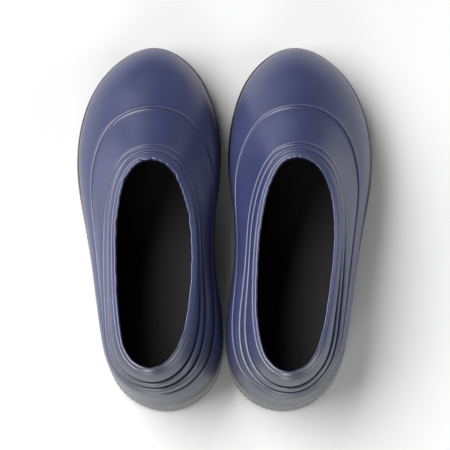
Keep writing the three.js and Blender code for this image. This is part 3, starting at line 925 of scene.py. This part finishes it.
class LiningOperator(bpy.types.Operator):
    """Hangs the knitted lining inside both uppers"""
    bl_idname = "deck_boots.lining"
    bl_label = "Knitted linings"

    def execute(self, context):
        for boot in BOOTS:
            u = evenly(lambda x: wall(boot, x, np.full(x.shape, 0.5)), LINING_STATION)
            t = np.linspace(0, 1, LINING_ROWS)
            faces = [inside(boot, u[:, None], t[None, :], lining_depth(t)[None, :] + extra)
                     for extra in (0, LINING_THICK)]
            seat = WALL_INSET + lining_depth(0.0)
            feet = [at_height(sole_edge(u, seat + extra), FOOTBED_LOW / MM)[:, None]
                    for extra in (0, LINING_THICK)]
            loops = np.concatenate([feet[0], faces[0], faces[1][:, ::-1], feet[1]], axis=1)
            piece = ring_piece(f"{boot.side}_knitted_lining", place(boot, loops))
            finish_piece(piece, boot, "lining", "knit_lining")
        return {"FINISHED"}


# ---- toe puff and heel counter ---------------------------------------------------------------
STIFFENERS = (  # name, node, middle, reach round the boot, share of the wall's height
    ("toe_stiffener", "toe_puff", 0.0, 0.15, 0.6),
    ("heel_stiffener", "heel_counter", 0.5, 0.175, 0.8),
)
STIFFENER_STATIONS, STIFFENER_ROWS = 81, 28


class StiffenerOperator(bpy.types.Operator):
    """Moulds the toe puffs and heel counters that stand between the upper and the lining"""
    bl_idname = "deck_boots.stiffeners"
    bl_label = "Toe puffs and heel counters"

    def execute(self, context):
        depth = UPPER_THICK + GAP + STIFFENER_THICK / 2
        for boot in BOOTS:
            for name, node, middle, reach, high in STIFFENERS:
                u = np.linspace(middle - reach, middle + reach, STIFFENER_STATIONS)
                t = np.linspace(0, high, STIFFENER_ROWS)
                base = at_height(sole_edge(u, WALL_INSET + depth), FOOTBED_LOW / MM)[:, None]
                face = inside(boot, u[:, None], t[None, :], np.full((1, 1), depth))
                piece = grid_piece(f"{boot.side}_{name}", place(boot, np.concatenate([base, face], axis=1)))
                apply_modifier(piece, "SOLIDIFY", thickness=STIFFENER_THICK * MM, offset=0)
                face_outwards(piece)
                bpy.ops.object.shade_smooth_by_angle(angle=math.radians(50))
                finish_piece(piece, boot, node, "stiffener")
        return {"FINISHED"}


# ---- footbed and its cover -------------------------------------------------------------------
FOOTBED_INSET = WALL_INSET + UPPER_THICK + SHELL_CLEAR + LINING_THICK + FOOTBED_CLEAR
FOOTBED_ROUND, COVER_ROUND = 0.6, 0.3
DISH = 1.6  # how far the footbed's middle lies below its edge
DISH_RIM = 0.35  # share of the way out from which the dish rises
DISH_WAIST, DISH_BALL = 0.35, 0.3  # shares of the dish at the waist, and added under the forefoot
CUP_FRONT, CUP_LENGTH = -30, 60  # the heel cup deepens backwards from here
BALL_BACK, BALL_LENGTH = 20, 50  # and the bed under the forefoot forwards from here
SPINE_Y, SPINE_X = (-95, 0, 85), (0.5, -6, -3)  # the line that the slab's grid opens out from
SPINE_REACH = 0.72  # how far it reaches towards the toe and the heel


def footbed_disc(rows=72, columns=28):
    """A grid that fills the footbed's outline: level points, and each point's share of the way out."""
    a, b = np.meshgrid(np.linspace(-1, 1, columns), np.linspace(-1, 1, rows))
    x = a * np.sqrt(1 - b ** 2 / 2)
    y = b * np.sqrt(1 - a ** 2 / 2)
    out = np.minimum(1, np.hypot(x, y))
    u = np.mod(np.arctan2(x, y) / (2 * np.pi), 1)
    edge = sole_edge(u, np.full(u.shape, FOOTBED_INSET))
    spine_y = np.clip(edge[..., 1] * SPINE_REACH, SPINE_Y[0], SPINE_Y[-1])
    spine = np.stack([np.interp(spine_y, SPINE_Y, SPINE_X), spine_y], -1)
    return spine + (edge - spine) * out[..., None], out


def dish(points, out):
    """Depth of the footbed's hollow: a heel cup and a shallow bed under the forefoot."""
    heel = smooth((CUP_FRONT - points[..., 1]) / CUP_LENGTH)
    ball = smooth((points[..., 1] - BALL_BACK) / BALL_LENGTH)
    deep = DISH_WAIST + (1 - DISH_WAIST) * heel + DISH_BALL * ball
    return DISH * (1 - smooth((out - DISH_RIM) / (1 - DISH_RIM))) * deep


def slab_piece(name, boot, low, high):
    """A dished slab: a sheet at its top face, extruded down to its bottom."""
    points, out = footbed_disc()
    piece = grid_piece(name, place(boot, at_height(points, high / MM - dish(points, out))))
    extrude(low - high)
    return piece


def round_slab(piece, width):
    """Rounds a slab's edges."""
    face_outwards(piece)
    apply_modifier(piece, "BEVEL", width=width, segments=3, limit_method="ANGLE",
                   angle_limit=math.radians(50))
    bpy.ops.object.shade_smooth_by_angle(angle=math.radians(50))


class FootbedOperator(bpy.types.Operator):
    """Cuts the foam footbeds with their heel cups"""
    bl_idname = "deck_boots.footbed"
    bl_label = "Foam footbeds"

    def execute(self, context):
        for boot in BOOTS:
            piece = slab_piece(f"{boot.side}_foam_footbed", boot, FOOTBED_LOW, FOOTBED_HIGH)
            for vertex in piece.data.vertices:
                if vertex.co.z < (FOOTBED_LOW + FOOTBED_HIGH) / 2:
                    vertex.co.z = FOOTBED_LOW
            round_slab(piece, FOOTBED_ROUND * MM)
            finish_piece(piece, boot, "footbed", "foam", "footbed")
        return {"FINISHED"}


class CoverOperator(bpy.types.Operator):
    """Lays the knitted cover on both footbeds"""
    bl_idname = "deck_boots.cover"
    bl_label = "Footbed covers"

    def execute(self, context):
        for boot in BOOTS:
            piece = slab_piece(f"{boot.side}_knitted_cover", boot, COVER_LOW, COVER_HIGH)
            round_slab(piece, COVER_ROUND * MM)
            finish_piece(piece, boot, "footbed_cover", "knit_lining", "footbed")
        return {"FINISHED"}


# ---- outsole ---------------------------------------------------------------------------------
TREAD_DEPTH = 2
TREAD_WIDTH = 2.4
TREAD_PITCH = 13  # and the plain rubber left at the toe and at the heel
ARCH_RELIEF = 2.5  # how far the waist is raised
ARCH_FRONT, HEEL_BREAST = 8, -56  # y of the waist's two ends
SOLE_HALF = 142  # half the sole's length
SIPE_WIDTH = 0.7
SIPE_LAND = 0.6  # rubber left between a sipe and a groove
ZIGZAG, ZIGZAG_STEPS = 2.4, 36
CUTTER_HALF = 71  # past the sole's widest part
OUTSOLE_STATIONS = 160
OUTSOLE_ROUND = 0.8


def bars(lines, width, top, zigzag):
    """Cutters across the sole at each y in lines: a box each, or a zigzag where zigzag isn't 0."""
    steps = ZIGZAG_STEPS if zigzag else 1
    x = np.linspace(-CUTTER_HALF, CUTTER_HALF, steps + 1)
    wave = zigzag * (np.arange(steps + 1) % 2)
    start_fresh()
    cutters = []
    for y in lines:
        bpy.ops.mesh.primitive_grid_add(x_subdivisions=steps, y_subdivisions=1)
        cutter = bpy.context.object
        side = [np.stack([x, y + wave + edge * width / 2, np.full_like(x, top)], -1) for edge in (-1, 1)]
        set_points(cutter, np.concatenate(side) * MM)
        cutters.append(cutter)
    for cutter in cutters:
        cutter.select_set(True)
    bpy.context.view_layer.objects.active = cutters[0]
    bpy.ops.object.join()
    extrude(-(top + 1) * MM)
    face_outwards(cutters[0])
    return cutters[0]


def tread_lines(pitch):
    """The y of every cut: forwards from the arch and backwards from the heel's breast."""
    forepart = np.arange(ARCH_FRONT + pitch, SOLE_HALF - TREAD_PITCH, pitch)
    heel = np.arange(HEEL_BREAST - pitch, -SOLE_HALF + TREAD_PITCH, -pitch)
    return [*forepart, *heel]


def cut_away(piece, cutter):
    """Takes the cutter's shape out of a piece and deletes the cutter."""
    start_fresh()
    apply_modifier(piece, "BOOLEAN", operation="DIFFERENCE", object=cutter, solver="EXACT")
    bpy.data.objects.remove(cutter)


def sole_blank(boot):
    """A plain sole in the boot's own frame, with rounded edges."""
    u = np.linspace(0, 1, OUTSOLE_STATIONS, endpoint=False)
    outline = at_height(sole_edge(u, WALL_INSET), OUTSOLE_LOW / MM) * MM
    start_fresh()
    bpy.ops.mesh.primitive_circle_add(vertices=len(u), fill_type="NGON")
    piece = bpy.context.object
    piece.name = piece.data.name = f"{boot.side}_rubber_outsole"
    set_points(piece, outline)
    extrude(OUTSOLE_HIGH - OUTSOLE_LOW)
    face_outwards(piece)
    apply_modifier(piece, "BEVEL", width=OUTSOLE_ROUND * MM, segments=2, limit_method="ANGLE",
                   angle_limit=math.radians(60))
    return piece


def cut_tread(piece, sizes):
    """Cuts the raised waist, the grooves, and the zigzag sipes that fit between the grooves."""
    wide = tread_lines(TREAD_PITCH)
    clear = TREAD_WIDTH / 2 + ZIGZAG / 2 + SIPE_LAND
    fine = [y for y in tread_lines(sizes.sipe_pitch / MM)
            if min(abs(y + ZIGZAG / 2 - groove) for groove in wide) > clear]
    waist = [(ARCH_FRONT + HEEL_BREAST) / 2]
    cut_away(piece, bars(waist, ARCH_FRONT - HEEL_BREAST, ARCH_RELIEF, 0))
    cut_away(piece, bars(wide, TREAD_WIDTH, TREAD_DEPTH, 0))
    cut_away(piece, bars(fine, SIPE_WIDTH, sizes.sipe_depth / MM, ZIGZAG))


class OutsoleOperator(bpy.types.Operator):
    """Moulds both outsoles and cuts their grooves, zigzag sipes and raised waist"""
    bl_idname = "deck_boots.outsole"
    bl_label = "Outsoles"

    def execute(self, context):
        for boot in BOOTS:
            piece = sole_blank(boot)
            cut_tread(piece, context.scene.boot_sizes)
            set_points(piece, place(boot, get_points(piece) / MM))
            face_outwards(piece)
            bpy.ops.object.shade_smooth_by_angle(angle=math.radians(30))
            finish_piece(piece, boot, "outsole", "black_rubber")
        return {"FINISHED"}


# ---- pieces that keep the frame's shape ------------------------------------------------------
KEPT = (("bottom_filler", "cork"), ("shank", "spring_steel"), ("insole_board", "fibreboard"))


class InnerPartsOperator(bpy.types.Operator):
    """Finishes the fillers, shanks and insole boards, which keep the frame's own shapes"""
    bl_idname = "deck_boots.inner_parts"
    bl_label = "Fillers, shanks and insole boards"

    def execute(self, context):
        for boot in BOOTS:
            for node, slot in KEPT:
                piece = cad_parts[f"{boot.side}_{node}"]
                piece.data.materials.clear()
                piece.data.materials.append(material(slot))
        return {"FINISHED"}


# ---- stage -----------------------------------------------------------------------------------
FLOOR_SIZE = 12
CAMERA_PLACE = (0.0004, -0.51377, 1.93185)
CAMERA_TILT = 15  # degrees from straight down
SENSOR_WIDTH = 36  # in mm
KEY_PLACE, KEY_SIZE = (-2.9, 0.9, 3.8), (6.2, 3.0)
FILL_PLACE = (3.6, -1.0, 1.4)
HEEL_PLACE = (-0.8, -3.8, 1.5)
SOFT_LIGHT_SIZE = 2.5  # of the fill light and the heel light


def aim(piece, target):
    """Turns a light so that it shines at a point."""
    away = np.array(piece.location) - np.array(target)
    piece.rotation_euler = (math.atan2(math.hypot(away[0], away[1]), away[2]), 0,
                            math.atan2(away[0], -away[1]))


def floor_material(colour_value):
    """Plain matt paper with a faint unevenness."""
    n = Nodes("pale_floor")
    cloud = n.scaled(n.noise(3, 3), 0.3, 0.7, 0, 1)
    base = n.mix(cloud, tint(colour_value, 0.995), solid(colour_value))
    return n.set(Base_Color=base, Roughness=0.7)


class StageOperator(bpy.types.Operator):
    """Lays the pale floor and sets the lights, the surroundings and the camera"""
    bl_idname = "deck_boots.stage"
    bl_label = "Stage"

    def execute(self, context):
        stage = context.scene.boot_stage
        start_fresh()
        bpy.ops.mesh.primitive_plane_add(size=FLOOR_SIZE)
        floor = context.object
        floor.name = "floor"
        floor.data.materials.append(floor_material(stage.floor_colour))
        bpy.ops.object.light_add(type="AREA", location=KEY_PLACE)
        key = context.object
        key.name = "key_light"
        key.data.shape = "RECTANGLE"
        key.data.size, key.data.size_y = KEY_SIZE
        key.data.energy = stage.key_power
        aim(key, (0, 0, 0))
        for name, spot, power in (("fill_light", FILL_PLACE, stage.fill_power),
                                  ("heel_light", HEEL_PLACE, stage.heel_power)):
            bpy.ops.object.light_add(type="AREA", location=spot)
            soft = context.object
            soft.name = name
            soft.data.shape = "DISK"
            soft.data.size = SOFT_LIGHT_SIZE
            soft.data.energy = power
            aim(soft, (0, 0, 0))
        world = bpy.data.worlds.new("white_room")
        world.use_nodes = True
        sky = world.node_tree.nodes["Background"]
        sky.inputs["Color"].default_value = (1, 1, 1, 1)
        sky.inputs["Strength"].default_value = stage.world_strength
        context.scene.world = world
        bpy.ops.object.camera_add(location=CAMERA_PLACE, rotation=(math.radians(CAMERA_TILT), 0, 0))
        camera = context.object
        camera.name = "camera"
        camera.data.sensor_width = SENSOR_WIDTH
        camera.data.lens = stage.focal_length
        context.scene.camera = camera
        context.scene.view_settings.view_transform = "Standard"
        return {"FINISHED"}


# ---- add-on ----------------------------------------------------------------------------------
OPERATORS = (
    OutsoleOperator, FoxingOperator, UpperOperator, CollarOperator, LiningOperator, StiffenerOperator,
    FootbedOperator, CoverOperator, InnerPartsOperator, StageOperator,
)


class DeckBootsPanel(bpy.types.Panel):
    """Lists the sizes, the colours and the steps that make the pair"""
    bl_idname = "VIEW3D_PT_deck_boots"
    bl_label = "Deck boots"
    bl_space_type = "VIEW_3D"
    bl_region_type = "UI"
    bl_category = "Deck boots"

    def draw(self, context):
        for group in (context.scene.boot_sizes, context.scene.boot_colours, context.scene.boot_stage):
            box = self.layout.box()
            for name in group.__annotations__:
                box.prop(group, name)
        for operator in OPERATORS:
            self.layout.operator(operator.bl_idname)


CLASSES = (BootSizes, BootColours, BootStage, *OPERATORS, DeckBootsPanel)


def register():
    """Makes the settings, the steps and the panel known to Blender."""
    for cls in CLASSES:
        bpy.utils.register_class(cls)
    bpy.types.Scene.boot_sizes = PointerProperty(type=BootSizes)
    bpy.types.Scene.boot_colours = PointerProperty(type=BootColours)
    bpy.types.Scene.boot_stage = PointerProperty(type=BootStage)


def unregister():
    """Takes them away again."""
    del bpy.types.Scene.boot_stage, bpy.types.Scene.boot_colours, bpy.types.Scene.boot_sizes
    for cls in reversed(CLASSES):
        bpy.utils.unregister_class(cls)


def main():
    """Makes every piece and the stage."""
    register()
    bpy.ops.deck_boots.outsole()
    bpy.ops.deck_boots.foxing()
    bpy.ops.deck_boots.upper()
    bpy.ops.deck_boots.collar()
    bpy.ops.deck_boots.lining()
    bpy.ops.deck_boots.stiffeners()
    bpy.ops.deck_boots.footbed()
    bpy.ops.deck_boots.cover()
    bpy.ops.deck_boots.inner_parts()
    bpy.ops.deck_boots.stage()


if __name__ == "__main__":
    main()
